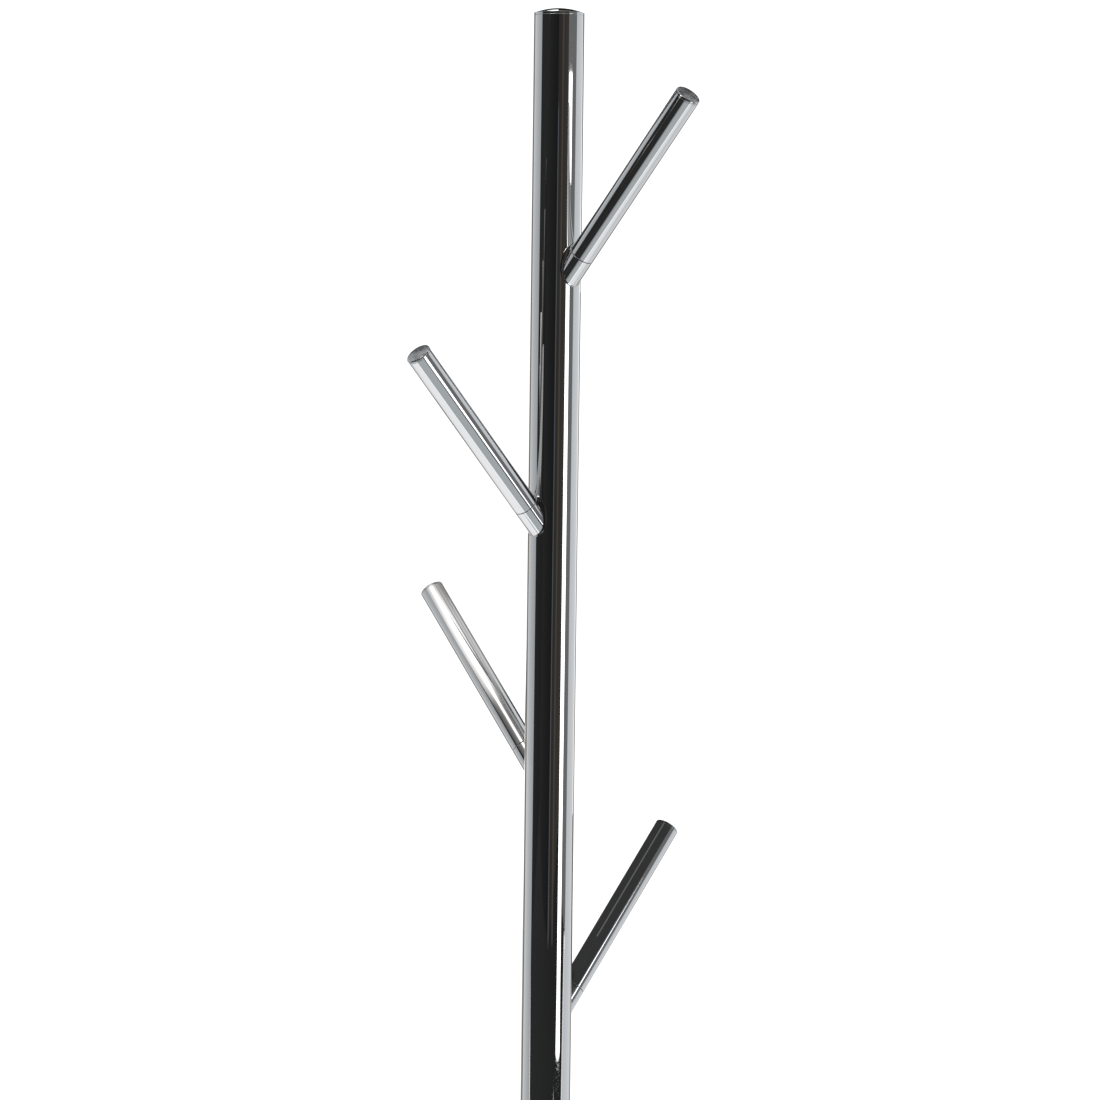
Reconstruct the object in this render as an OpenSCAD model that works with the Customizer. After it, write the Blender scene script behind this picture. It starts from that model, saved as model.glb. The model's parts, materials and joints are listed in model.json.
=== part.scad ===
// Standing coat rack: a round chromed pole on a weighted base, with four
// straight pegs that climb it in a spiral and unscrew from welded stubs.
// Millimetres, +Z up, origin on the floor under the pole's axis.

/* [Pole] */
// Height of the whole rack, floor to the top of the cap's dome
total_h = 1750; // [1600:10:1850]
// Outside diameter of the pole's tube
pole_d = 40; // [34:1:45]
// Wall of the pole's tube
pole_wall = 1.5; // [1.2:0.1:2.5]
// Height of the joint between the pole's two sections
splice_z = 875; // [780:5:900]
// Straight band of the cap above the tube's rim
cap_band = 1.7; // [1:0.1:4]
// Rise of the cap's dome above its band
cap_dome = 4.1; // [1:0.1:8]

/* [Pegs] */
// Outside diameter of a peg
peg_d = 20; // [16:1:22]
// Wall of a peg's tube
peg_wall = 1.5; // [1:0.1:2]
// Angle of every peg from vertical, degrees
peg_tilt = 42; // [35:1:50]
// Drop from the tube's rim to the highest peg's crossing with the pole's axis
peg_top_drop = 216.2; // [200:0.1:260]
// Drop from each peg to the next
peg_pitch = 195; // [170:1:200]
// Headings of the pegs from the highest down, degrees counter-clockwise from +X
peg_headings = [-44, -140, 137, 43.5];
// Distance along a peg from the pole's axis to its seam
seam_s = 42.2; // [40:0.1:50]
// Length of a peg's tube, seam to cap
peg_len = 157.5; // [120:0.5:200]
// Width of the weld at a stub's root
weld_w = 2.2; // [1:0.1:4]

/* [Base] */
// Outside diameter of the base
base_d = 380; // [340:5:420]
// Height of the flat land that the pole stands on
base_top = 24; // [22:0.5:30]
// Thickness of the spun steel cover
cover_t = 1.2; // [0.8:0.1:2]
// Radius of the cover's rounded edge
edge_r = 8; // [6:0.5:10]
// Thickness of the foot pads
foot_t = 3; // [2:0.5:5]

/* [Hidden] */

$fn = 96;
eps = 1;              // how far a cutting tool runs past the face it cuts
slip = 0.05;          // radial clearance of a fitted pair

pole_r = pole_d / 2;
pole_bore_r = pole_r - pole_wall;
rim_z = total_h - cap_band - cap_dome;

peg_r = peg_d / 2;
peg_bore_r = peg_r - peg_wall;
stub_in_s = 12;       // the stub's inner end, inside the pole
stub_hole_end = seam_s + 20;
weld_end = seam_s - 0.2;
peg_stud_r = 4;       // M8
peg_stud_in = 20;     // depth of the stud in its stub
peg_stud_out = 10.5;  // length that stands out of the stub's face
washer_r = 9.5;
washer_gap = 0.5;     // seam that the washer fills
washer_t = 0.46;
insert_len = 16;
peg_cap_band = 0.9;
peg_cap_edge = 1.3;   // rounding between a peg cap's band and its face
peg_cap_dome = 0.8;
cap_stem = 14;

m12_r = 6;
m12_clear_r = 6.75;
plug_len = 30;

base_r = base_d / 2;
rim_gap = 1.5;        // the cover's rim stays this far above the floor
apex_rise = 0.6;      // the dome's apex, cut off by the flat land
edge_in = base_r - edge_r;
edge_drop = 10;       // fall of the dome from the land to the rounded edge
dome_R = edge_in * edge_in / (2 * (edge_drop + apex_rise));
dome_c = base_top + apex_rise - dome_R;
edge_z = dome_c + sqrt(pow(dome_R - edge_r, 2) - edge_in * edge_in);
tangent_r = edge_in * dome_R / (dome_R - edge_r);
land_z = base_top - cover_t;

weight_r = base_r - 12;
weight_steps = [[weight_r, 9], [weight_r - 60, 13], [weight_r - 110, 16.5]];
boss_r = 38;
recess_r = 16;
washer_big_t = 2.5;
head_h = 7.5;
head_af = 19;
recess_top = 16;
head_z = recess_top - 2 * washer_big_t - head_h;
bolt_len = 40;
foot_r = 14;
foot_ring_r = 150;
collar_r = 31;
collar_h = 9;
collar_round = 3.5;

// ---- shared shapes ----

// Everything under it is drawn along peg i's axis, which becomes +Z
module along_peg(i) {
    translate([0, 0, rim_z - peg_top_drop - i * peg_pitch])
        rotate([0, 0, peg_headings[i]])
            rotate([0, peg_tilt, 0])
                children();
}

// A tube or ring from z0 to z1
module ring(r_out, r_in, z0, z1) {
    translate([0, 0, z0])
        difference() {
            cylinder(r = r_out, h = z1 - z0);
            translate([0, 0, -eps]) cylinder(r = r_in, h = z1 - z0 + 2 * eps);
        }
}

// A rod from z0 to z1
module rod(r, z0, z1) {
    translate([0, 0, z0]) cylinder(r = r, h = z1 - z0);
}

// A closed end: a hollow stem inside a tube, and a head with a band, a
// rounded edge and a dome. Its tube's rim is at z = 0.
module end_cap(r, bore_r, band, edge, dome) {
    face_r = r - edge;
    dome_r = (face_r * face_r + dome * dome) / (2 * dome);
    rotate_extrude()
        union() {
            square([r, band]);
            if (edge > 0) {
                square([face_r, band + edge]);
                intersection() {
                    translate([face_r, band]) circle(r = edge);
                    translate([face_r, band]) square(edge);
                }
            }
            intersection() {
                translate([0, band + edge + dome - dome_r]) circle(r = dome_r);
                translate([0, band + edge - 0.2]) square([face_r, dome + 0.2]);
            }
        }
    ring(bore_r - slip, bore_r - 2.5, -cap_stem, 0.2);
}

// ---- base ----

// The cover's outline, shrunk by t on its outside
module cover_outline(t) {
    intersection() {
        translate([0, dome_c]) circle(r = dome_R - t, $fn = 720);
        square([tangent_r, base_top - t]);
    }
    translate([edge_in, edge_z]) circle(r = edge_r - t);
    square([base_r - t, edge_z]);
}

module base_cover() {
    color("silver")
        rotate_extrude($fn = 180)
            difference() {
                intersection() {
                    cover_outline(0);
                    translate([m12_clear_r, rim_gap]) square([base_r, base_top]);
                }
                intersection() {
                    cover_outline(cover_t);
                    square([base_r, base_top]);
                }
            }
}

module base_weight() {
    color("dimgray")
        difference() {
            union() {
                for (step = weight_steps)
                    rod(step[0], foot_t, foot_t + step[1]);
                rod(boss_r, foot_t, land_z);
            }
            rod(recess_r, foot_t - eps, recess_top);
            rod(m12_clear_r, recess_top - eps, land_z + eps);
        }
}

module base_feet() {
    color("black")
        for (k = [0:5])
            rotate([0, 0, 30 + 60 * k])
                translate([foot_ring_r, 0, 0])
                    cylinder(r = foot_r, h = foot_t);
}

module base_bolt() {
    color("lightsteelblue") {
        translate([0, 0, head_z])
            cylinder(r = head_af / 2 / cos(30), h = head_h, $fn = 6);
        rod(m12_r, head_z + head_h - 0.5, head_z + head_h + bolt_len);
    }
}

module base_washer() {
    color("lightsteelblue")
        ring(12, m12_r + 0.5, recess_top - washer_big_t, recess_top);
}

module base_spring_washer() {
    top = recess_top - washer_big_t;
    color("gray")
        difference() {
            ring(10.5, m12_r + 0.3, top - washer_big_t, top);
            translate([0, -0.75, top - washer_big_t - eps]) cube([12, 1.5, washer_big_t + 2 * eps]);
        }
}

module pole_collar() {
    round_c = collar_r - collar_round;
    color("silver")
        translate([0, 0, base_top])
            rotate_extrude()
                difference() {
                    union() {
                        square([round_c, collar_h]);
                        square([collar_r, collar_h - collar_round]);
                        translate([round_c, collar_h - collar_round]) circle(r = collar_round);
                    }
                    translate([0, -eps]) square([pole_r + slip, collar_h + 2 * eps]);
                }
}

// ---- pole ----

module pole_foot_insert() {
    color("gray")
        ring(pole_bore_r - slip, m12_r + slip, base_top, base_top + plug_len + 4);
}

module pole_lower() {
    color("silver") ring(pole_r, pole_bore_r, base_top, splice_z);
}

module splice_lower_insert() {
    color("gray") ring(pole_bore_r - slip, m12_r + slip, splice_z - plug_len, splice_z);
}

module splice_stud() {
    color("lightsteelblue") rod(m12_r, splice_z - plug_len + 4, splice_z + plug_len - 4);
}

module splice_upper_insert() {
    color("gray") ring(pole_bore_r - slip, m12_r + slip, splice_z, splice_z + plug_len);
}

module pole_upper() {
    color("silver")
        difference() {
            ring(pole_r, pole_bore_r, splice_z, rim_z);
            for (i = [0:3])
                along_peg(i) rod(peg_r + slip, 0, stub_hole_end);
        }
}

module pole_cap() {
    color("silver")
        translate([0, 0, rim_z])
            end_cap(pole_r, pole_bore_r, cap_band, 0, cap_dome);
}

// ---- pegs, i = 0 for the highest ----

// A solid bar through the pole's wall, drilled for its stud
module peg_stub(i) {
    color("silver")
        along_peg(i)
            difference() {
                rod(peg_r, stub_in_s, seam_s);
                rod(peg_stud_r + slip, seam_s - peg_stud_in - slip, seam_s + eps);
            }
}

// The weld where the stub meets the pole
module peg_weld(i) {
    color("gainsboro")
        difference() {
            intersection() {
                along_peg(i) rod(peg_r + weld_w, 0, weld_end);
                rod(pole_r + weld_w, splice_z, rim_z);
            }
            rod(pole_r + slip, splice_z - eps, rim_z + eps);
            along_peg(i) rod(peg_r + slip, -eps, stub_hole_end + eps);
        }
}

module peg_stud(i) {
    color("lightsteelblue")
        along_peg(i) rod(peg_stud_r, seam_s - peg_stud_in, seam_s + peg_stud_out);
}

module peg_washer(i) {
    z0 = seam_s + (washer_gap - washer_t) / 2;
    color("dimgray")
        along_peg(i) ring(washer_r, peg_stud_r + 0.3, z0, z0 + washer_t);
}

module peg_tube(i) {
    color("silver")
        along_peg(i) ring(peg_r, peg_bore_r, seam_s + washer_gap, seam_s + peg_len);
}

// The threaded plug in the peg's root
module peg_insert(i) {
    z0 = seam_s + washer_gap;
    color("gray")
        along_peg(i) ring(peg_bore_r - slip, peg_stud_r + slip, z0, z0 + insert_len);
}

module peg_cap(i) {
    color("silver")
        along_peg(i)
            translate([0, 0, seam_s + peg_len])
                end_cap(peg_r, peg_bore_r, peg_cap_band, peg_cap_edge, peg_cap_dome);
}

base_cover();
base_weight();
base_feet();
base_bolt();
base_washer();
base_spring_washer();
pole_collar();
pole_foot_insert();
pole_lower();
splice_lower_insert();
splice_stud();
splice_upper_insert();
pole_upper();
pole_cap();
for (i = [0:3]) {
    peg_stub(i);
    peg_weld(i);
    peg_stud(i);
    peg_washer(i);
    peg_tube(i);
    peg_insert(i);
    peg_cap(i);
}
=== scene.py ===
"""Looks of the standing coat rack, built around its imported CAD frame.

Metres, +Z up, the origin on the floor under the pole's axis, as in the frame.
Every piece here stands for one CAD node and rides on that node's body.
"""
import json
import math

import bmesh
import bpy
from mathutils import Matrix, Vector


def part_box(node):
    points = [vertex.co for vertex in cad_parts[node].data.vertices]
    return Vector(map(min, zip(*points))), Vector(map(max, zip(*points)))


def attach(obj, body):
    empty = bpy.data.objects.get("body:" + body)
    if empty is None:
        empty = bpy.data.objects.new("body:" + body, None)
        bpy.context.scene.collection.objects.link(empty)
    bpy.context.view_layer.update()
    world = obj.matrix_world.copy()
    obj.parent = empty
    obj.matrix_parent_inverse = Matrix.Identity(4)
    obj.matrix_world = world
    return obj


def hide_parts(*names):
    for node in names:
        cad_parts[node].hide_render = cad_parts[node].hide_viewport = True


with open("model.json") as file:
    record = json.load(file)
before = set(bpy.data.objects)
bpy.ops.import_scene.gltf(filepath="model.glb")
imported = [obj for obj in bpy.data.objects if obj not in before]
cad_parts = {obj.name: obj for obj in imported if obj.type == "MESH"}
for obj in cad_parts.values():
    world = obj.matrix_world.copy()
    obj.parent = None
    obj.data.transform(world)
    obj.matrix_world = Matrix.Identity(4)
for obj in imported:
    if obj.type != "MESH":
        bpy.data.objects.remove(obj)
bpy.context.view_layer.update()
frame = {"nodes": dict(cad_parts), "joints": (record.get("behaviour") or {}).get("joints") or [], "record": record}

MM = 0.001
TAU = 2 * math.pi


# ---------------------------------------------------------------- sizes

def outer_radius(node):
    low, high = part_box(node)
    return (high.x - low.x) / 2


FLOOR_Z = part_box("base_feet")[0].z
FOOT_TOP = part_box("base_feet")[1].z
BASE_R = outer_radius("base_cover")
BASE_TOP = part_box("base_cover")[1].z
RIM_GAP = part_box("base_cover")[0].z
POLE_R = outer_radius("pole_lower")
SPLICE_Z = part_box("pole_upper")[0].z
RIM_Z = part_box("pole_upper")[1].z
TOP_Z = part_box("pole_cap")[1].z
COLLAR_R = outer_radius("pole_collar")
COLLAR_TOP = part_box("pole_collar")[1].z
WEIGHT_R = outer_radius("base_weight")
BOLT_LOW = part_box("base_bolt")[0].z
BOLT_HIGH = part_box("base_bolt")[1].z

WALL = 1.5 * MM            # wall of the pole and of a peg's tube
SLIP = 0.05 * MM           # clearance of a fitted pair
TUBE_BREAK = 0.22 * MM     # broken edge at the end of a tube

COVER_T = 1.2 * MM
EDGE_R = 8 * MM            # rounding of the cover's edge
EDGE_DROP = 10 * MM        # fall of the dome from its land to that rounding
APEX_RISE = 0.6 * MM
CLEAR_R = 6.75 * MM        # hole for the bolt
BOLT_R = 6 * MM

PEG_R = 10 * MM
PEG_TILT = math.radians(42)
SEAM_S = 42.2 * MM         # from the pole's axis to a peg's seam, along the peg
SEAM_GAP = 0.5 * MM
PEG_LEN = 157.5 * MM
PEG_CAP_BAND = 0.9 * MM
PEG_CAP_EDGE = 1.3 * MM
PEG_CAP_RISE = 0.8 * MM
POLE_CAP_BAND = 1.7 * MM
POLE_CAP_EDGE = 0.35 * MM
STUB_IN_S = 12 * MM        # inner end of the stub, along the peg from the pole's axis
STUB_NECK = 8 * MM         # length of that end that is turned down by the clearance
STUD_R = 4 * MM
STUD_IN = 20 * MM
STUD_OUT = 10.5 * MM
THREAD_PITCH = 1.25 * MM
THREAD_DEPTH = 0.68 * MM
WASHER_R = 9.5 * MM
WASHER_SLIP = 0.3 * MM
INSERT_LEN = 16 * MM
CAP_STEM = 14 * MM
WELD_W = 3.4 * MM          # the weld's width, which bead() shares out round the stub

BODY_OF = {
    node: body
    for body, nodes in frame["record"]["behaviour"]["bodies"].items()
    for node in nodes
}
PEG_JOINTS = [j for j in frame["joints"] if j["type"] == "hinge"]


def peg_matrix(joint):
    """A peg's own axes: its origin on the pole's axis, +Z out along the peg, +X down and outwards."""
    out = Vector(joint["axis"]).normalized()
    origin = Vector(joint["pos_m"]) - out * SEAM_S
    side = Vector((0, 0, 1)).cross(out).normalized()
    return Matrix.Translation(origin) @ Matrix((side.cross(out), side, out)).transposed().to_4x4()


# ---------------------------------------------------------------- meshes

def line(*points):
    """Straight steps of a turned outline, each a start, its normal, an end and its normal.

    The outline runs with the metal on its left.
    """
    steps = []
    for start, end in zip(points, points[1:]):
        normal = Vector((end[1] - start[1], start[0] - end[0])).normalized()
        steps.append((start, normal, end, normal))
    return steps


def arc(centre, radius, start, end, count=8):
    """A round stretch of a turned outline, from one angle to another in degrees.

    A rising angle bulges out of the metal, and a falling one is a hollow.
    """
    turn = 1 if end > start else -1
    angles = [math.radians(start + (end - start) * k / count) for k in range(count + 1)]
    rays = [Vector((math.cos(a), math.sin(a))) for a in angles]
    points = [(centre[0] + ray.x * radius, centre[1] + ray.y * radius) for ray in rays]
    return [
        (points[k], rays[k] * turn, points[k + 1], rays[k + 1] * turn)
        for k in range(count)
    ]


def new_mesh(name, verts, faces, normals=None):
    mesh = bpy.data.meshes.new(name)
    mesh.from_pydata(verts, [], faces)
    mesh.shade_smooth()
    mesh.update()
    if normals:
        mesh.normals_split_custom_set(normals)
    return mesh


def lathe(name, outline, segments=192):
    """Turns a closed outline of (radius, height) steps round the Z axis, with exact normals."""
    starts = [step[0] for step in outline]
    verts, rings = [], []
    for radius, height in starts:
        if radius < 1e-9:
            rings.append([len(verts)] * segments)
            verts.append((0, 0, height))
        else:
            rings.append(range(len(verts), len(verts) + segments))
            for k in range(segments):
                a = TAU * k / segments
                verts.append((radius * math.cos(a), radius * math.sin(a), height))
    faces, normals = [], []
    for index, (start, normal_start, end, normal_end) in enumerate(outline):
        low, high = rings[index], rings[(index + 1) % len(rings)]
        if start[0] < 1e-9 and end[0] < 1e-9:
            continue
        for k in range(segments):
            nxt = (k + 1) % segments
            corners = [(low[k], k, normal_start), (low[nxt], k + 1, normal_start),
                       (high[nxt], k + 1, normal_end), (high[k], k, normal_end)]
            if start[0] < 1e-9:
                corners.pop(1)
            elif end[0] < 1e-9:
                corners.pop(2)
            faces.append([c[0] for c in corners])
            for _, column, normal in corners:
                a = TAU * column / segments
                normals.append((normal.x * math.cos(a), normal.x * math.sin(a), normal.y))
    return new_mesh(name, verts, faces, normals)


def tube_outline(outer, bore, low, high, edge=TUBE_BREAK):
    return (
        line((bore, low), (outer - edge, low))
        + arc((outer - edge, low + edge), edge, -90, 0, 5)
        + line((outer, low + edge), (outer, high - edge))
        + arc((outer - edge, high - edge), edge, 0, 90, 5)
        + line((outer - edge, high), (bore, high), (bore, low))
    )


def cap_outline(radius, bore, band, edge, rise, foot_edge):
    """A turned end cap: its stem in a tube, a band, a rounded edge and a dome. The tube's rim is at 0."""
    face_r = radius - edge
    dome_r = (face_r * face_r + rise * rise) / (2 * rise)
    lean = math.degrees(math.asin(face_r / dome_r))
    stem = bore - SLIP
    hollow = bore - 2.5 * MM
    return (
        line((0, 0), (hollow, 0), (hollow, -CAP_STEM), (stem, -CAP_STEM), (stem, 0), (radius - foot_edge, 0))
        + arc((radius - foot_edge, foot_edge), foot_edge, -90, 0, 5)
        + line((radius, foot_edge), (radius, band))
        + arc((face_r, band), edge, 0, 90 - lean, 10)
        + line((face_r + edge * math.sin(math.radians(lean)), band + edge * math.cos(math.radians(lean))),
               (face_r, band + edge))
        + arc((0, band + edge + rise - dome_r), dome_r, 90 - lean, 90, 24)
        + line((0, band + edge + rise), (0, 0))
    )


def threaded(name, radius, low, high, tip, segments=48, rows_per_turn=8):
    """A threaded rod along Z with a chamfered tip at its upper end."""
    steepness, crest = 2.6, 0.12    # of the thread's flanks, and of the flat on top
    count = int((high - low) / THREAD_PITCH * rows_per_turn)
    verts, faces = [], []
    for row in range(count + 1):
        z = low + (high - low) * row / count
        limit = radius - max(0, tip - (high - z))
        for k in range(segments):
            turn = (z / THREAD_PITCH - k / segments) % 1
            flank = min(1, max(0, steepness * abs(turn - 0.5) - crest))
            r = min(radius - THREAD_DEPTH * flank, limit)
            a = TAU * k / segments
            verts.append((r * math.cos(a), r * math.sin(a), z))
    for row in range(count):
        for k in range(segments):
            a, b = row * segments + k, row * segments + (k + 1) % segments
            faces.append((a, b, b + segments, a + segments))
    faces.append(tuple(reversed(range(segments))))
    faces.append(tuple(range(count * segments, (count + 1) * segments)))
    mesh = new_mesh(name, verts, faces)
    mesh.set_sharp_from_angle(angle=math.radians(50))
    return mesh


def crossing(angle):
    """How far along a peg the line at this angle on its surface comes out of the pole."""
    across = PEG_R * math.sin(angle)
    rise = PEG_R * math.cos(angle)
    return (math.sqrt(POLE_R**2 - across**2) - rise * math.cos(PEG_TILT)) / math.sin(PEG_TILT)


def bead(name, matrix, width, segments=144, count=10):
    """The weld round a stub's root, as a closed ring with a convex face that sinks a little into both parts.

    Its foot reaches over the pole and its top along the stub, both least below the peg and most above it.
    """
    sink = 0.03 * MM
    foot_least, top_least, top_gain = 0.2, 0.15, 0.4
    crown_share = 0.75
    seam_clear = 0.2 * MM
    root = 0.5 * MM
    to_peg = matrix.inverted()
    verts, faces = [], []
    for k in range(segments):
        angle = TAU * k / segments
        ray = Vector((math.cos(angle), math.sin(angle), 0))
        corner = ray * PEG_R + Vector((0, 0, crossing(angle)))
        step = TAU / segments
        near = [
            Vector((math.cos(angle + d), math.sin(angle + d), 0)) * PEG_R
            + Vector((0, 0, crossing(angle + d)))
            for d in (-step, step)
        ]
        along = (near[1] - near[0]).normalized()
        on_pole = matrix @ corner
        pole_normal = (to_peg.to_3x3() @ Vector((on_pole.x, on_pole.y, 0))).normalized()
        away = pole_normal.cross(along).normalized()
        if away.dot(ray) < 0:
            away.negate()
        share = (1 - math.cos(angle)) / 2
        foot = matrix @ (corner + away * width * (foot_least + share))
        flat = Vector((foot.x, foot.y, 0)).normalized() * (POLE_R - sink)
        foot = to_peg @ Vector((flat.x, flat.y, foot.z))
        reach = min(corner.z + width * (top_least + top_gain * share), SEAM_S - seam_clear)
        top = ray * (PEG_R - sink) + Vector((0, 0, reach))
        crown = corner + crown_share * (foot - corner) + crown_share * (top - corner)
        inner = corner - ray * root - pole_normal * root
        for j in range(count + 1):
            t = j / count
            verts.append(foot * (1 - t) ** 2 + crown * 2 * t * (1 - t) + top * t**2)
        verts.append(inner)
    row = count + 2
    for k in range(segments):
        nxt = (k + 1) % segments
        for j in range(row):
            a, b = k * row + j, k * row + (j + 1) % row
            c, d = nxt * row + (j + 1) % row, nxt * row + j
            faces.append((a, d, c, b))
    mesh = new_mesh(name, verts, faces)
    mesh.set_sharp_from_angle(angle=math.radians(60))
    return mesh


def drilled_pole():
    """The upper tube with a hole for each stub, and exact normals on its round faces."""
    upright, facing = 0.02, 0.99
    bore = POLE_R - WALL
    tube = bpy.data.objects.new("tube", lathe("tube", tube_outline(POLE_R, bore, SPLICE_Z, RIM_Z), 240))
    bpy.context.scene.collection.objects.link(tube)
    drills = []
    for joint in PEG_JOINTS:
        outline = line((0, STUB_IN_S), (PEG_R, STUB_IN_S), (PEG_R, SEAM_S), (0, SEAM_S))
        drill = bpy.data.objects.new("drill", lathe("drill", outline, 96))
        drill.matrix_world = peg_matrix(joint)
        bpy.context.scene.collection.objects.link(drill)
        cut = tube.modifiers.new("hole", "BOOLEAN")
        cut.operation = "DIFFERENCE"
        cut.solver = "EXACT"
        cut.object = drill
        drills.append(drill)
    bpy.context.view_layer.update()
    cut_mesh = bpy.data.meshes.new_from_object(tube.evaluated_get(bpy.context.evaluated_depsgraph_get()))
    for extra in [tube, *drills]:
        bpy.data.objects.remove(extra)
    cut_mesh.shade_smooth()
    normals = []
    for face in cut_mesh.polygons:
        for loop in face.loop_indices:
            at = cut_mesh.vertices[cut_mesh.loops[loop].vertex_index].co
            radial = Vector((at.x, at.y, 0)).normalized()
            reach = math.hypot(at.x, at.y)
            lean = radial.dot(face.normal)
            round_face = abs(face.normal.z) < upright and abs(lean) > facing
            if round_face and lean > 0 and reach > POLE_R - TUBE_BREAK / 2:
                normals.append(radial)
            elif round_face and lean < 0:
                normals.append(-radial)
            else:
                normals.append(face.normal)
    cut_mesh.normals_split_custom_set(normals)
    return cut_mesh


# ---------------------------------------------------------------- materials

class Nodes:
    """Short names for building a material's node tree."""

    def __init__(self, name):
        self.material = bpy.data.materials.new(name)
        self.material.use_nodes = True
        self.tree = self.material.node_tree
        self.shader = self.tree.nodes["Principled BSDF"]
        self.coords = self.tree.nodes.new("ShaderNodeTexCoord").outputs["Object"]

    def set(self, **values):
        """Constants, straight on the shader's own sockets."""
        for name, value in values.items():
            socket = self.shader.inputs[name.replace("_", " ")]
            socket.default_value = (*value, 1) if isinstance(value, tuple) else value

    def link(self, output, node, name):
        self.tree.links.new(output, node.inputs[name])

    def stretched(self, scale):
        node = self.tree.nodes.new("ShaderNodeMapping")
        node.inputs["Scale"].default_value = scale
        self.link(self.coords, node, "Vector")
        return node.outputs["Vector"]

    def noise(self, scale, detail=3, stretch=(1, 1, 1), roughness=0.5):
        node = self.tree.nodes.new("ShaderNodeTexNoise")
        node.inputs["Scale"].default_value = scale
        node.inputs["Detail"].default_value = detail
        node.inputs["Roughness"].default_value = roughness
        self.link(self.stretched(stretch), node, "Vector")
        return node.outputs["Fac"]

    def between(self, value, low, high, start=0.0, end=1.0):
        """Takes a value from start..end to low..high."""
        node = self.tree.nodes.new("ShaderNodeMapRange")
        for name, number in (("From Min", start), ("From Max", end), ("To Min", low), ("To Max", high)):
            node.inputs[name].default_value = number
        self.link(value, node, "Value")
        return node.outputs["Result"]

    def blend(self, factor, first, second):
        node = self.tree.nodes.new("ShaderNodeMix")
        node.data_type = "RGBA"
        node.inputs["A"].default_value = (*first, 1)
        node.inputs["B"].default_value = (*second, 1)
        self.link(factor, node, "Factor")
        return node.outputs["Result"]

    def bump(self, height, distance, after=None):
        node = self.tree.nodes.new("ShaderNodeBump")
        node.inputs["Distance"].default_value = distance
        self.link(height, node, "Height")
        if after:
            self.link(after, node, "Normal")
        return node.outputs["Normal"]

    def to_shader(self, output, name):
        self.link(output, self.shader, name)


def chrome(name, light, dark, rough=(0.02, 0.06), waves=0.0, streaks=0.0, grain=0.0):
    """Mirror chrome: faint smears in its colour and gloss, slow waves, and fine polishing streaks."""
    n = Nodes(name)
    n.set(Metallic=1.0)
    smears = n.noise(38, 4, (1, 1, 0.35))
    n.to_shader(n.blend(n.between(smears, 0, 1, 0.35, 0.68), dark, light), "Base Color")
    specks = n.noise(420, 5)
    n.to_shader(n.between(specks, rough[0], rough[1], 0.4, 0.72), "Roughness")
    normal = n.bump(n.noise(14, 2, (1, 1, 0.5)), waves * MM)
    normal = n.bump(n.noise(900, 2, (1, 1, 0.02)), streaks * MM, after=normal)
    if grain:
        normal = n.bump(n.noise(1500, 3), grain * MM, after=normal)
    n.to_shader(normal, "Normal")
    return n.material


def cap_chrome(name, light, dark):
    """Chrome whose end face is turned: duller there and bright at the rim. Its colour goes dark in mottled patches
    and in streaks from the middle outwards, a painted reflection and a painted sheen.
    """
    face_in, face_out = 8.3 * MM, 8.8 * MM
    rim_rough = 0.06
    n = Nodes(name)
    n.set(Metallic=1.0)
    flat = n.tree.nodes.new("ShaderNodeVectorMath")
    flat.operation = "MULTIPLY"
    flat.inputs[1].default_value = (1, 1, 0)
    n.link(n.coords, flat, "Vector")
    length = n.tree.nodes.new("ShaderNodeVectorMath")
    length.operation = "LENGTH"
    n.link(flat.outputs["Vector"], length, "Vector")
    outward = n.tree.nodes.new("ShaderNodeVectorMath")
    outward.operation = "NORMALIZE"
    n.link(flat.outputs["Vector"], outward, "Vector")
    # radial streaks: in the colour a painted sheen, in the gloss the turning's own streaks
    streaks = n.tree.nodes.new("ShaderNodeTexNoise")
    streaks.inputs["Scale"].default_value = 7
    streaks.inputs["Detail"].default_value = 4
    n.link(outward.outputs["Vector"], streaks, "Vector")
    mottle = n.noise(260, 4)
    both = n.tree.nodes.new("ShaderNodeMath")
    both.operation = "MULTIPLY"
    n.tree.links.new(streaks.outputs["Fac"], both.inputs[0])
    n.tree.links.new(mottle, both.inputs[1])
    # the colour is painted reflection and painted sheen: dark in mottled patches and radial streaks
    n.to_shader(n.blend(n.between(both.outputs["Value"], 0, 1, 0.12, 0.38), dark, light), "Base Color")
    face = n.between(length.outputs["Value"], 1, 0, face_in, face_out)
    rough = n.tree.nodes.new("ShaderNodeMath")
    rough.operation = "MULTIPLY_ADD"
    n.tree.links.new(face, rough.inputs[0])
    n.tree.links.new(n.between(both.outputs["Value"], 0.2, 0.42, 0.1, 0.4), rough.inputs[1])
    rough.inputs[2].default_value = rim_rough
    n.to_shader(rough.outputs["Value"], "Roughness")
    n.to_shader(n.bump(mottle, 0.02 * MM, after=n.bump(n.noise(30, 2), 0.1 * MM)), "Normal")
    return n.material


def cast_iron(name):
    n = Nodes(name)
    n.set(Metallic=0.0, Specular_IOR_Level=0.45)
    skin = n.noise(160, 6, roughness=0.62)
    n.to_shader(n.blend(skin, (0.018, 0.018, 0.02), (0.07, 0.068, 0.066)), "Base Color")
    n.to_shader(n.between(n.noise(60, 3), 0.42, 0.72), "Roughness")
    normal = n.bump(skin, 0.5 * MM)
    n.to_shader(n.bump(n.noise(1200, 3), 0.08 * MM, after=normal), "Normal")
    return n.material


def rubber(name):
    n = Nodes(name)
    n.set(Metallic=0.0, Specular_IOR_Level=0.3)
    n.to_shader(n.blend(n.noise(90, 4), (0.02, 0.02, 0.021), (0.05, 0.049, 0.048)), "Base Color")
    n.to_shader(n.between(n.noise(300, 3), 0.62, 0.85), "Roughness")
    n.to_shader(n.bump(n.noise(2200, 3), 0.05 * MM), "Normal")
    return n.material


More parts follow.
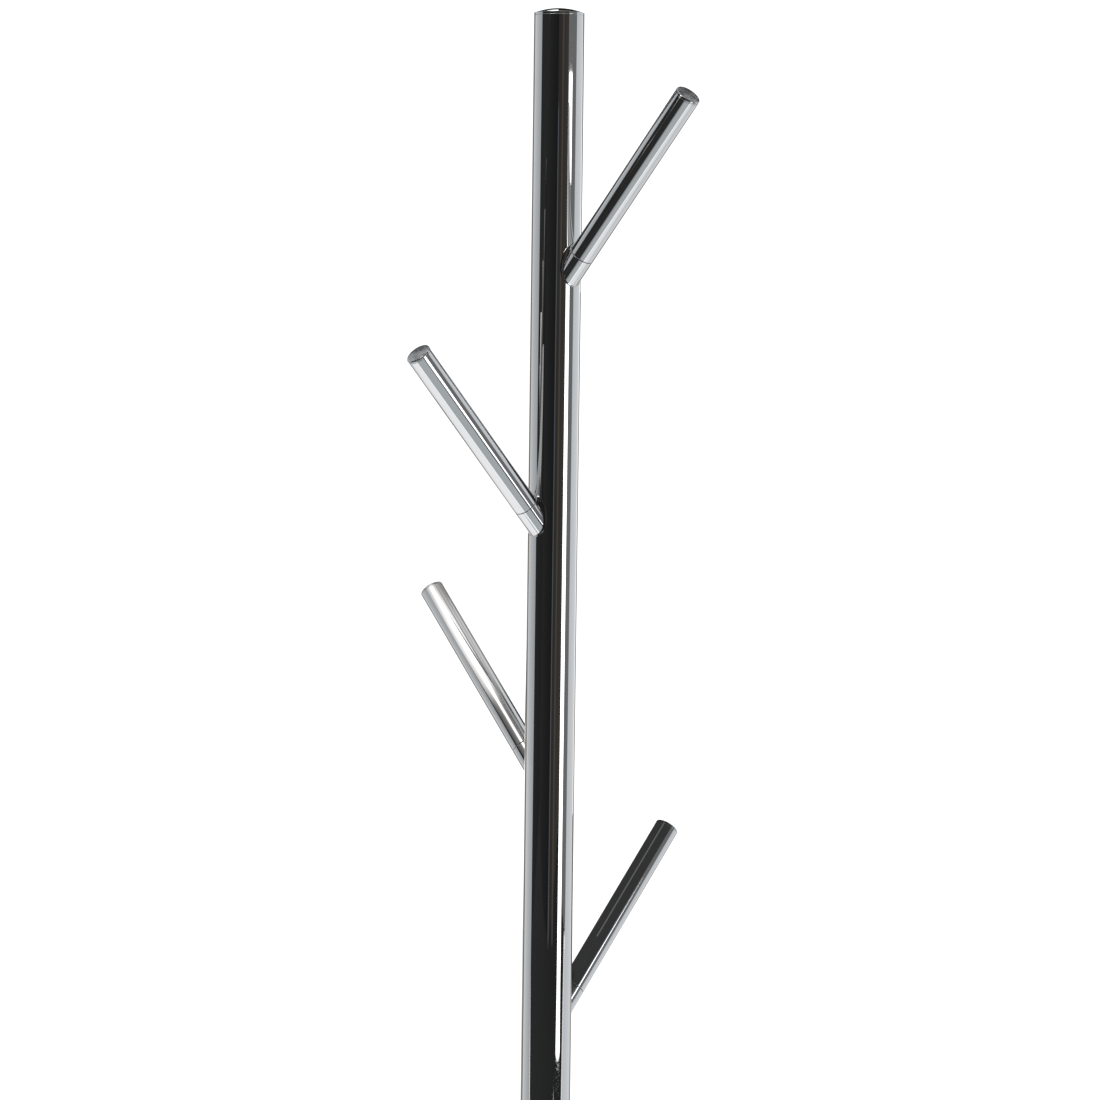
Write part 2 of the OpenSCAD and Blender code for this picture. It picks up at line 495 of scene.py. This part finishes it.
def turned_steel(name, light, dark, rough):
    n = Nodes(name)
    n.set(Metallic=1.0)
    n.to_shader(n.blend(n.noise(120, 5), dark, light), "Base Color")
    n.to_shader(n.between(n.noise(500, 4), rough[0], rough[1]), "Roughness")
    n.to_shader(n.bump(n.noise(700, 3, (0.1, 0.1, 1)), 0.02 * MM), "Normal")
    return n.material


def nylon(name):
    n = Nodes(name)
    n.set(Metallic=0.0, Specular_IOR_Level=0.4)
    n.to_shader(n.blend(n.noise(400, 4), (0.03, 0.03, 0.032), (0.07, 0.07, 0.074)), "Base Color")
    n.to_shader(n.between(n.noise(900, 3), 0.35, 0.55), "Roughness")
    n.to_shader(n.bump(n.noise(2500, 2), 0.02 * MM), "Normal")
    return n.material


CHROME = (0.64, 0.65, 0.66)

MATERIALS = {
    "chrome": chrome("chrome_pole", CHROME, (0.61, 0.62, 0.63), waves=0.02, streaks=0.0004),
    "peg_chrome": chrome("chrome_peg", CHROME, (0.62, 0.63, 0.64), waves=0.012, streaks=0.0002),
    # the cap's dark colour is its face's painted reflection
    "cap_chrome": cap_chrome("chrome_cap", CHROME, (0.24, 0.26, 0.27)),
    "weld_chrome": chrome(
        "chrome_weld", (0.58, 0.585, 0.6), (0.5, 0.5, 0.51), rough=(0.04, 0.14), waves=0.12, grain=0.003
    ),
    "cast_iron": cast_iron("cast_iron_painted"),
    "foot_rubber": rubber("rubber_black"),
    "zinc_steel": turned_steel("zinc_plate", (0.62, 0.63, 0.67), (0.48, 0.49, 0.52), (0.22, 0.38)),
    "spring_steel": turned_steel("spring_steel_dark", (0.2, 0.2, 0.22), (0.1, 0.1, 0.11), (0.3, 0.5)),
    "plain_steel": turned_steel("turned_steel", (0.5, 0.5, 0.51), (0.36, 0.36, 0.37), (0.2, 0.36)),
    "washer_nylon": nylon("nylon_dark"),
}


# ---------------------------------------------------------------- pieces

def show(node, mesh, slot, matrix=None):
    """Puts a mesh where a CAD node is, with its finish, on the node's body."""
    piece = bpy.data.objects.new(node + "_shown", mesh)
    bpy.context.scene.collection.objects.link(piece)
    if matrix:
        piece.matrix_world = matrix
    mesh.materials.clear()
    mesh.materials.append(MATERIALS[slot])
    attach(piece, BODY_OF[node])
    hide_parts(node)
    return piece


def finish_node(node, slot):
    """Keeps a CAD node's own shape and gives it a finish."""
    shape = frame["nodes"][node]
    shape.data.materials.clear()
    shape.data.materials.append(MATERIALS[slot])


def base_cover():
    """The spun dome: a flat land round the hole, a shallow dome, a rounded edge and a short skirt."""
    edge_in = BASE_R - EDGE_R
    dome_r = edge_in**2 / (2 * (EDGE_DROP + APEX_RISE))
    dome_c = BASE_TOP + APEX_RISE - dome_r
    edge_z = dome_c + math.sqrt((dome_r - EDGE_R) ** 2 - edge_in**2)
    lean = math.degrees(math.asin(edge_in / (dome_r - EDGE_R)))
    land_r = math.sqrt(dome_r**2 - (dome_r - APEX_RISE) ** 2)
    land_lean = math.degrees(math.asin(land_r / dome_r))
    inner_r = dome_r - COVER_T
    inner_land = BASE_TOP - COVER_T
    inner_land_r = math.sqrt(inner_r**2 - (inner_land - dome_c) ** 2)
    inner_lean = math.degrees(math.asin(inner_land_r / inner_r))
    hem = 0.5 * MM
    outline = (
        line((BASE_R - COVER_T, RIM_GAP), (BASE_R - hem, RIM_GAP))
        + arc((BASE_R - hem, RIM_GAP + hem), hem, -90, 0, 4)
        + line((BASE_R, RIM_GAP + hem), (BASE_R, edge_z))
        + arc((edge_in, edge_z), EDGE_R, 0, 90 - lean, 24)
        + arc((0, dome_c), dome_r, 90 - lean, 90 - land_lean, 60)
        + line((land_r, BASE_TOP), (CLEAR_R, BASE_TOP), (CLEAR_R, inner_land), (inner_land_r, inner_land))
        + arc((0, dome_c), inner_r, 90 - inner_lean, 90 - lean, 24)
        + arc((edge_in, edge_z), EDGE_R - COVER_T, 90 - lean, 0, 10)
        + line((BASE_R - COVER_T, edge_z), (BASE_R - COVER_T, RIM_GAP))
    )
    show("base_cover", lathe("base_cover_shown", outline, 360), "chrome")


def base_weight():
    """The stepped casting, its steps rounded as sand castings are."""
    steps = [(WEIGHT_R, 9 * MM), (WEIGHT_R - 60 * MM, 13 * MM), (WEIGHT_R - 110 * MM, 16.5 * MM)]
    boss_r, boss_top = 38 * MM, BASE_TOP - COVER_T
    recess_r, recess_top = 16 * MM, 16 * MM
    soft = 1.5 * MM
    outline = line((recess_r, FOOT_TOP), (WEIGHT_R - soft, FOOT_TOP))
    outline += arc((WEIGHT_R - soft, FOOT_TOP + soft), soft, -90, 0, 5)
    below = FOOT_TOP + soft
    for k, (radius, height) in enumerate(steps):
        top = FOOT_TOP + height
        inside = steps[k + 1][0] if k + 1 < len(steps) else boss_r
        outline += line((radius, below), (radius, top - soft))
        outline += arc((radius - soft, top - soft), soft, 0, 90, 5)
        outline += line((radius - soft, top), (inside + soft, top))
        outline += arc((inside + soft, top + soft), soft, -90, -180, 5)
        below = top + soft
    outline += line((boss_r, below), (boss_r, boss_top - soft))
    outline += arc((boss_r - soft, boss_top - soft), soft, 0, 90, 5)
    outline += line((boss_r - soft, boss_top), (CLEAR_R, boss_top), (CLEAR_R, recess_top),
                    (recess_r, recess_top), (recess_r, FOOT_TOP))
    show("base_weight", lathe("base_weight_shown", outline, 144), "cast_iron")


def foot_outline():
    """One moulded pad: a rounded rim, and two shallow grooves in the face that stands on the floor."""
    radius, soft = 14 * MM, 0.8 * MM
    groove, depth = 0.7 * MM, 0.5 * MM
    inner, outer = 5 * MM, 9 * MM
    outline = line((0, FLOOR_Z), (inner, FLOOR_Z))
    for start, following in ((inner, outer), (outer, radius - soft)):
        outline += line((start, FLOOR_Z), (start + groove / 2, FLOOR_Z + depth))
        outline += line((start + groove / 2, FLOOR_Z + depth), (start + groove, FLOOR_Z))
        outline += line((start + groove, FLOOR_Z), (following, FLOOR_Z))
    outline += arc((radius - soft, FLOOR_Z + soft), soft, -90, 0, 5)
    outline += line((radius, FLOOR_Z + soft), (radius, FOOT_TOP), (0, FOOT_TOP), (0, FLOOR_Z))
    return outline


def base_feet():
    ring_r, count = 150 * MM, 6
    joined = bmesh.new()
    for k in range(count):
        pad = lathe("pad", foot_outline(), 64)
        angle = math.radians(30) + TAU * k / count
        pad.transform(Matrix.Translation((ring_r * math.cos(angle), ring_r * math.sin(angle), 0)))
        joined.from_mesh(pad)
        bpy.data.meshes.remove(pad)
    mesh = bpy.data.meshes.new("base_feet_shown")
    joined.to_mesh(mesh)
    joined.free()
    mesh.set_sharp_from_angle(angle=math.radians(35))
    show("base_feet", mesh, "foot_rubber")


def base_bolt():
    """The hexagon bolt from below: its head's corners turned off, and its thread up into the pole."""
    flats = 19 * MM / 2
    corner_r = flats / math.cos(math.radians(30))
    head_h = 7.5 * MM
    bevel, bevel_in = 0.9 * MM, 0.6 * MM
    overlap, tip = 0.5 * MM, 1 * MM
    segments = 96

    def hexagon(a):
        return flats / math.cos((a + math.pi / 6) % (math.pi / 3) - math.pi / 6)

    # heights over the head's lower face, and the largest radius there
    limits = ((0, flats - bevel_in), (bevel, corner_r), (head_h, corner_r), (head_h, BOLT_R))
    verts, faces, rows = [], [], []
    for height, limit in limits:
        rows.append(len(verts))
        for k in range(segments):
            a = TAU * k / segments
            r = min(hexagon(a), limit)
            verts.append((r * math.cos(a), r * math.sin(a), BOLT_LOW + height))
    for first, second in zip(rows, rows[1:]):
        for k in range(segments):
            nxt = (k + 1) % segments
            faces.append((first + k, first + nxt, second + nxt, second + k))
    faces.append(tuple(reversed(range(segments))))
    faces.append(tuple(rows[-1] + k for k in range(segments)))
    head = new_mesh("head", verts, faces)
    shank = threaded("shank", BOLT_R, BOLT_LOW + head_h - overlap, BOLT_HIGH, tip)
    joined = bmesh.new()
    joined.from_mesh(head)
    joined.from_mesh(shank)
    mesh = bpy.data.meshes.new("base_bolt_shown")
    joined.to_mesh(mesh)
    joined.free()
    mesh.set_sharp_from_angle(angle=math.radians(25))
    show("base_bolt", mesh, "zinc_steel")


def pole_collar():
    """The ring round the pole's foot, with a rounded shoulder and a broken edge where it meets the cover."""
    bore, round_r, foot, lip = POLE_R + SLIP, 3.5 * MM, 0.4 * MM, 0.3 * MM
    outline = (
        line((bore, BASE_TOP), (COLLAR_R - foot, BASE_TOP))
        + arc((COLLAR_R - foot, BASE_TOP + foot), foot, -90, 0, 4)
        + line((COLLAR_R, BASE_TOP + foot), (COLLAR_R, COLLAR_TOP - round_r))
        + arc((COLLAR_R - round_r, COLLAR_TOP - round_r), round_r, 0, 90, 16)
        + line((COLLAR_R - round_r, COLLAR_TOP), (bore + lip, COLLAR_TOP))
        + arc((bore + lip, COLLAR_TOP - lip), lip, 90, 180, 4)
        + line((bore, COLLAR_TOP - lip), (bore, BASE_TOP))
    )
    show("pole_collar", lathe("pole_collar_shown", outline, 240), "chrome")


def pole():
    lower = tube_outline(POLE_R, POLE_R - WALL, BASE_TOP, SPLICE_Z)
    show("pole_lower", lathe("pole_lower_shown", lower, 240), "chrome")
    show("pole_upper", drilled_pole(), "chrome")
    rise = TOP_Z - RIM_Z - POLE_CAP_BAND - POLE_CAP_EDGE
    outline = cap_outline(POLE_R, POLE_R - WALL, POLE_CAP_BAND, POLE_CAP_EDGE, rise, TUBE_BREAK)
    show("pole_cap", lathe("pole_cap_shown", outline, 240), "chrome", Matrix.Translation((0, 0, RIM_Z)))


def peg(number, joint):
    """One peg with its stub: the bar through the pole's wall, its weld, the stud, the washer and the peg."""
    matrix = peg_matrix(joint)
    root = SEAM_S + SEAM_GAP
    tip = SEAM_S + PEG_LEN
    mouth, chamfer = 0.5 * MM, 0.3 * MM
    play, washer_edge, stud_tip = 0.02 * MM, 0.1 * MM, 0.7 * MM
    bore = STUD_R + SLIP
    neck = STUB_IN_S + STUB_NECK
    stub = (
        line((0, STUB_IN_S), (PEG_R - SLIP, STUB_IN_S), (PEG_R - SLIP, neck))
        + line((PEG_R, neck), (PEG_R, SEAM_S - TUBE_BREAK))
        + arc((PEG_R - TUBE_BREAK, SEAM_S - TUBE_BREAK), TUBE_BREAK, 0, 90, 5)
        + line((PEG_R - TUBE_BREAK, SEAM_S), (bore + mouth, SEAM_S), (bore, SEAM_S - mouth),
               (bore, SEAM_S - STUD_IN), (0, SEAM_S - STUD_IN), (0, STUB_IN_S))
    )
    washer = tube_outline(WASHER_R, STUD_R + WASHER_SLIP, SEAM_S + play, root - play, washer_edge)
    insert_r = PEG_R - WALL - SLIP
    insert = (
        line((bore + mouth, root), (insert_r - chamfer, root), (insert_r, root + chamfer),
             (insert_r, root + INSERT_LEN), (bore, root + INSERT_LEN), (bore, root + mouth),
             (bore + mouth, root))
    )
    cap = cap_outline(PEG_R, PEG_R - WALL, PEG_CAP_BAND, PEG_CAP_EDGE, PEG_CAP_RISE, TUBE_BREAK)
    parts = {
        "peg_stub": (lathe("stub", stub, 160), "peg_chrome"),
        "peg_weld": (bead("weld", matrix, WELD_W), "weld_chrome"),
        "peg_stud": (threaded("stud", STUD_R, SEAM_S - STUD_IN, SEAM_S + STUD_OUT, stud_tip), "zinc_steel"),
        "peg_washer": (lathe("washer", washer, 96), "washer_nylon"),
        "peg_tube": (lathe("tube", tube_outline(PEG_R, PEG_R - WALL, root, tip), 160), "peg_chrome"),
        "peg_insert": (lathe("insert", insert, 96), "plain_steel"),
    }
    for name, (mesh, slot) in parts.items():
        mesh.name = f"{name}_{number}_shown"
        show(f"{name}_{number}", mesh, slot, matrix)
    cap_mesh = lathe(f"peg_cap_{number}_shown", cap, 160)
    show(f"peg_cap_{number}", cap_mesh, "cap_chrome", matrix @ Matrix.Translation((0, 0, tip)))


base_cover()
base_weight()
base_feet()
base_bolt()
pole_collar()
pole()
for number, joint in enumerate(PEG_JOINTS, 1):
    peg(number, joint)

finish_node("base_washer", "zinc_steel")
finish_node("base_spring_washer", "spring_steel")
finish_node("pole_foot_insert", "plain_steel")
finish_node("splice_lower_insert", "plain_steel")
finish_node("splice_upper_insert", "plain_steel")
finish_node("splice_stud", "zinc_steel")


# ---------------------------------------------------------------- studio

# Chrome shows only what stands round it. These panels are seen by mirrors alone, and were set until the
# reflections came near the photograph's, from its camera. Some stand where a real card couldn't, or would show in
# a picture: left_card, left_near, low_strip, the flags and the bent card.

# the big dark panels: how far they stand from the rack, how high they are, and the ceiling over them
WALL_AWAY = 4.7
WALL_H = 4.4
CEILING_Z = 3.6
FLAT = 90                    # tilt of a panel that lies level
KEY_AZIMUTH = 55.5           # the softbox at the right
KEY_LIGHT = 3.0
MID_FLOOR = (0.55, 0.585, 0.595)

# flags that only the lowest peg sees: name, radius round its axis, ends along that axis,
# first and last angle round it in degrees, and light
PEG_FLAGS = (
    ("peg_flag", 0.022, 0.044, 0.215, 104, 257, 0.05),
    ("peg_flag_streak", 0.0215, 0.09, 0.21, 190, 199, 0.19),
)
FLAG_PEG = PEG_JOINTS[3]

BENT_PEG = PEG_JOINTS[2]
BENT_R = 1.5                 # radius of the bent card, round that peg's own axis
BENT_LOW, BENT_HIGH = 0.545, 0.91   # its ends, along that axis
BENT_FROM, BENT_TO = -57, 145       # its edges, in degrees from its brightest line
BENT_TINT = (1, 0.97, 0.945)
BENT_TOWARDS = (-31, 1.0, 0.9)      # azimuth, distance and rise of the way from the peg to its brightest line
BENT_TURN = 5                       # and how much further round the peg that line is, in degrees
# Light at angles from the card's brightest line, in degrees: all along the axis, and over its upper part
# only. Its steps follow how bright that peg is across its width in the photograph.
BENT_CORE = ((0, 2.6), (6, 2.2), (11, 0.9), (18, 0.3), (40, 0.2), (58, 0.1), (150, 0.08))
BENT_GLOW = (
    (0, 3.0), (14, 1.9), (24, 1.42), (30, 1.25), (38, 1.1), (50, 0.92),
    (60, 0.8), (72, 0.66), (90, 0.5), (110, 0.42), (125, 0.34), (150, 0.22),
)
# share of that glow along the axis
BENT_SHARE = ((0.640, 0.0), (0.658, 0.1), (0.690, 0.72), (0.735, 1.0), (0.795, 1.0), (0.850, 0.65))

# the floor's light at distances from the middle of its card
FLOOR_RINGS = (
    (0, 1.28), (0.6, 1.22), (1.4, 1.08), (1.9, 0.85),
    (2.4, 0.8), (3.0, 0.75), (4.2, 0.82), (6.0, 1.0),
)


def grey(value, warm=0.0):
    return (value * (1 + warm), value, value * (1 - warm))


def around(azimuth, distance, height):
    """A place round the rack: azimuth 0 on the camera's side, 90 at +X."""
    angle = math.radians(azimuth)
    return Vector((distance * math.sin(angle), -distance * math.cos(angle), height))


def glow(name, low, high=None, one_sided=False):
    """A card's light: even, or running across it from low to high. One-sided, it is clear from its back."""
    material = bpy.data.materials.new(name)
    material.use_nodes = True
    tree = material.node_tree
    tree.nodes.clear()
    output = tree.nodes.new("ShaderNodeOutputMaterial")
    emission = tree.nodes.new("ShaderNodeEmission")
    emission.inputs["Color"].default_value = (*low, 1)
    if high:
        coords = tree.nodes.new("ShaderNodeTexCoord")
        split = tree.nodes.new("ShaderNodeSeparateXYZ")
        mix = tree.nodes.new("ShaderNodeMix")
        mix.data_type = "RGBA"
        mix.inputs["A"].default_value = (*low, 1)
        mix.inputs["B"].default_value = (*high, 1)
        tree.links.new(coords.outputs["Generated"], split.inputs["Vector"])
        tree.links.new(split.outputs["X"], mix.inputs["Factor"])
        tree.links.new(mix.outputs["Result"], emission.inputs["Color"])
    light = emission.outputs["Emission"]
    if one_sided:
        clear = tree.nodes.new("ShaderNodeBsdfTransparent")
        choice = tree.nodes.new("ShaderNodeMixShader")
        side = tree.nodes.new("ShaderNodeNewGeometry")
        tree.links.new(side.outputs["Backfacing"], choice.inputs["Fac"])
        tree.links.new(light, choice.inputs[1])
        tree.links.new(clear.outputs["BSDF"], choice.inputs[2])
        light = choice.outputs["Shader"]
    tree.links.new(light, output.inputs["Surface"])
    return material


def maths(tree, operation, first, second=None):
    """One Math node, its inputs numbers or other nodes' outputs."""
    node = tree.nodes.new("ShaderNodeMath")
    node.operation = operation
    for socket, value in zip(node.inputs, (first, second)):
        if isinstance(value, (int, float)):
            socket.default_value = value
        elif value is not None:
            tree.links.new(value, socket)
    return node.outputs["Value"]


def steps(tree, value, stops):
    """The light at a value, from (value, light) pairs."""
    start, reach = stops[0][0], stops[-1][0] - stops[0][0]
    ramp = tree.nodes.new("ShaderNodeValToRGB")
    for _ in stops[1:-1]:
        ramp.color_ramp.elements.new(0.5)
    for stop, (at, light) in zip(ramp.color_ramp.elements, stops):
        stop.position = (at - start) / reach
        stop.color = (*grey(light), 1)
    share = maths(tree, "DIVIDE", maths(tree, "SUBTRACT", value, start), reach)
    tree.links.new(share, ramp.inputs["Fac"])
    return ramp.outputs["Color"]


def pool_light(name, rings):
    """Light that changes with the distance from the card's middle, as (distance, light) pairs."""
    material = glow(name, grey(1))
    tree = material.node_tree
    coords = tree.nodes.new("ShaderNodeTexCoord")
    length = tree.nodes.new("ShaderNodeVectorMath")
    length.operation = "LENGTH"
    tree.links.new(coords.outputs["Object"], length.inputs[0])
    light = steps(tree, length.outputs["Value"], rings)
    tree.links.new(light, tree.nodes["Emission"].inputs["Color"])
    return material


def bent_light(name, middle):
    """The bent card's light, by the angle round its peg and by the distance along it."""
    material = glow(name, BENT_TINT)
    tree = material.node_tree
    coords = tree.nodes.new("ShaderNodeTexCoord")
    turned = tree.nodes.new("ShaderNodeVectorRotate")
    turned.rotation_type = "Z_AXIS"
    turned.inputs["Angle"].default_value = -middle
    tree.links.new(coords.outputs["Object"], turned.inputs["Vector"])
    split = tree.nodes.new("ShaderNodeSeparateXYZ")
    tree.links.new(turned.outputs["Vector"], split.inputs["Vector"])
    aside = maths(tree, "ABSOLUTE", maths(tree, "ARCTAN2", split.outputs["Y"], split.outputs["X"]))
    aside = maths(tree, "MULTIPLY", aside, 180 / math.pi)
    share = steps(tree, split.outputs["Z"], BENT_SHARE)
    upper = maths(tree, "MULTIPLY", steps(tree, aside, BENT_GLOW), share)
    total = maths(tree, "ADD", steps(tree, aside, BENT_CORE), upper)
    tree.links.new(total, tree.nodes["Emission"].inputs["Strength"])
    return material


def mirrors_only(panel):
    """Marks a stage panel that mirrors see and nothing else does."""
    panel.visible_camera = False
    panel.visible_diffuse = False
    panel.visible_transmission = False
    panel.visible_shadow = False


def card(name, centre, width, height, heading, low, high=None, tilt=0.0, material=None):
    """A flat panel that only mirrors see, with its light even, or running across it from low to high.

    Its heading is the way it lies from the rack, 0 on the camera's side and 90 at +X.
    """
    corners = ((-1, -1), (1, -1), (1, 1), (-1, 1))
    mesh = new_mesh(name, [(x * width / 2, 0, z * height / 2) for x, z in corners], [(0, 1, 2, 3)])
    mesh.materials.append(material or glow(name + "_light", low, high))
    panel = bpy.data.objects.new(name, mesh)
    panel.matrix_world = (
        Matrix.Translation(centre)
        @ Matrix.Rotation(math.radians(heading), 4, "Z")
        @ Matrix.Rotation(math.radians(tilt), 4, "X")
    )
    bpy.context.scene.collection.objects.link(panel)
    mirrors_only(panel)


def shell_card(name, joint, radius, low, high, first, last, columns, material):
    """A card bent round a peg's axis between two angles, facing the peg."""
    verts, faces = [], []
    for k in range(columns + 1):
        angle = first + (last - first) * k / columns
        for height in (low, high):
            verts.append((radius * math.cos(angle), radius * math.sin(angle), height))
    for k in range(columns):
        faces.append((2 * k, 2 * k + 1, 2 * k + 3, 2 * k + 2))
    mesh = new_mesh(name, verts, faces)
    mesh.materials.append(material)
    shell = bpy.data.objects.new(name, mesh)
    shell.matrix_world = peg_matrix(joint)
    bpy.context.scene.collection.objects.link(shell)
    mirrors_only(shell)


def left_cards():
    """White cards at the left, a stair of dark strips close to the rack, and a warm gap behind."""
    card("left_card", (-0.42, 0.145, 1.475), 0.45, 0.76, 90, grey(0.50, -0.02), grey(0.88, -0.02))
    card("left_far", (-1.75, 0.6, 0.65), 1.82, 1.3, 90, grey(0.52, -0.02), grey(0.92, -0.02))
    strip, top, lowest, rise = 0.035, 1.95, 1.47, 0.045
    aside, front = -0.25, -0.087
    for step in range(6):
        bottom = lowest + rise * step
        place = (aside, front - strip * step, (bottom + top) / 2)
        card(f"left_near_{step}", place, strip, top - bottom, 90, grey(0.03))
    card("left_above", (-0.5, 0.15, 2.9), 1.9, 1.7, 0, grey(0.7), tilt=FLAT)
    card("left_gap", around(-141, 2.0, 1.05), 0.66, 2.1, -141, (0.24, 0.215, 0.18))


def right_cards():
    """A white card at the right and a warm gap behind."""
    card("right_card", (0.9, 0.4, 1.2), 0.9, 2.6, 90, grey(0.78, -0.03), grey(0.95, -0.02))
    card("right_gap", around(152, 2.6, 0.75), 0.8, 1.6, 152, (0.36, 0.33, 0.28))


def back_cards():
    """Dark panels above the white backdrop, a small bright one among them, and dark strips round the base."""
    for azimuth in (-150, -90, -30, 30, 90, 150):
        card(f"low_strip_{azimuth + 180}", around(azimuth, 0.45, 0.12), 0.07, 0.24, azimuth, grey(0.06))
    for heading in (-120, 180, 120):
        card(f"dark_back_{heading + 180}", around(heading, 2.3, 3.2), 2.8, 2.1, heading, grey(0.02))
    card("top_glint", around(-177, 2.2, 3.3), 0.2, 0.5, -177, grey(2.2))


def front_cards():
    """Dark walls on the camera's side and a dark ceiling, with a brown streak and a pale one before them."""
    middle = WALL_H / 2
    card("dark_front_left", (-2.6, -WALL_AWAY, middle), 5.2, WALL_H, 0, grey(0.03), grey(0.015))
    card("dark_front_right", (2.6, -WALL_AWAY, middle), 5.2, WALL_H, 0, grey(0.035, 0.1), grey(0.055, 0.12))
    card("brown_streak", around(21, 4.6, 1.5), 0.5, 3.0, 21, (0.095, 0.078, 0.065))
    card("pale_streak", around(3, 4.6, 1.0), 0.3, 2.0, 3, (0.11, 0.12, 0.14))
    card("dark_left", (-WALL_AWAY, -2.4, middle), 5.2, WALL_H, 90, grey(0.02), grey(0.03))
    card("dark_right", (WALL_AWAY, -2.2, middle), 4.8, WALL_H, 90, grey(0.20), grey(0.20))
    card("ceiling", (0, -2, CEILING_Z), 9.6, 5.8, 0, grey(0.05), grey(0.08), tilt=FLAT)
    card("ceiling_back", (0, 2.9, CEILING_Z), 9.6, 4.0, 0, grey(0.2), tilt=FLAT)


def peg_flags():
    """Two shells close round the lowest peg, seen from their inside only, that darken its reflections."""
    for name, radius, low, high, first, last, light in PEG_FLAGS:
        material = glow(name + "_light", grey(light), one_sided=True)
        shell_card(name, FLAG_PEG, radius, low, high, math.radians(first), math.radians(last), 24, material)


def softbox():
    """The tall softbox at the right, a bright card near the rack, a bluish edge and a pool on the floor."""
    card("tall_softbox", around(KEY_AZIMUTH, 4.2, 0.83), 1.3, 1.66, KEY_AZIMUTH, grey(KEY_LIGHT))
    card("softbox_top", around(57, 1.0, 1.721), 0.30, 0.122, 57, grey(KEY_LIGHT))
    card("softbox_edge", around(55, 4.25, 1.8), 0.9, 0.3, 55, (0.25, 0.3, 0.42))
    card("softbox_pool", around(KEY_AZIMUTH, 3.85, 0.006), 1.3, 0.7, KEY_AZIMUTH, grey(2.5), tilt=FLAT)


def floor_cards():
    """The floor as the chrome sees it: a bright pool, a brighter edge, and darker away from the rack."""
    pool = pool_light("pool_light", FLOOR_RINGS)
    card("floor_pool", (-0.5, 0, 0.002), 10, 9.4, 0, grey(1), tilt=FLAT, material=pool)
    card("floor_edge", (0, -0.68, 0.003), 9, 0.12, 0, grey(1.5), tilt=FLAT)
    card("floor_dark", (0, -2.73, 0.004), 9.6, 4.0, 0, grey(0.035), grey(0.02), tilt=FLAT)
    card("floor_mid", (0.75, -1.66, 0.005), 2.5, 1.88, 0, MID_FLOOR, tilt=FLAT)
    card("floor_mid_left", (-0.8, -1.66, 0.006), 0.6, 1.88, 0, (0.22, 0.235, 0.24), MID_FLOOR, tilt=FLAT)


def bent_card():
    """A card bent round the third peg's axis, which gives that peg its shading."""
    axes = peg_matrix(BENT_PEG)
    towards = axes.to_3x3().inverted() @ around(*BENT_TOWARDS)
    middle = math.atan2(towards.y, towards.x) + math.radians(BENT_TURN)
    first, last = middle + math.radians(BENT_FROM), middle + math.radians(BENT_TO)
    light = bent_light("bent_card_light", middle)
    shell_card("bent_card", BENT_PEG, BENT_R, BENT_LOW, BENT_HIGH, first, last, 60, light)


def studio():
    """Panels that only mirrors see, set to bring the reflections near the photograph's."""
    left_cards()
    right_cards()
    back_cards()
    front_cards()
    peg_flags()
    softbox()
    floor_cards()
    bent_card()


def floor():
    """A pale round floor that fades into the white background."""
    radius, low = 3.0, -0.02
    outline = line((0, low), (radius, low), (radius, 0), (0, 0), (0, low))
    mesh = lathe("floor", outline, 96)
    disc = bpy.data.objects.new("floor", mesh)
    bpy.context.scene.collection.objects.link(disc)
    n = Nodes("floor_paper")
    n.set(Roughness=0.7, Specular_IOR_Level=0.0)
    n.to_shader(n.blend(n.noise(3, 4), (0.78, 0.78, 0.775), (0.82, 0.82, 0.82)), "Base Color")
    n.to_shader(n.bump(n.noise(60, 4), 0.3 * MM), "Normal")
    mesh.materials.append(n.material)


def background():
    world = bpy.data.worlds.new("white_paper")
    world.use_nodes = True
    world.node_tree.nodes["Background"].inputs["Color"].default_value = (1, 1, 1, 1)
    world.node_tree.nodes["Background"].inputs["Strength"].default_value = 1.3
    bpy.context.scene.world = world


def camera():
    """At the photograph's viewing angle: 1.5 m up, 2.3 m away, and looking slightly down."""
    aside, away, below_rim = -0.00185, 2.255, 0.2311
    down, roll = math.radians(4.683), math.radians(0.734)
    data = bpy.data.cameras.new("camera")
    data.lens = 94.0
    data.sensor_width = 36.0
    seat = bpy.data.objects.new("camera", data)
    bpy.context.scene.collection.objects.link(seat)
    seat.matrix_world = (
        Matrix.Translation((aside, -away, RIM_Z - below_rim))
        @ Matrix.Rotation(math.radians(90) - down, 4, "X")
        @ Matrix.Rotation(roll, 4, "Z")
    )
    bpy.context.scene.camera = seat


studio()
floor()
background()
camera()
bpy.context.scene.view_settings.view_transform = "Standard"
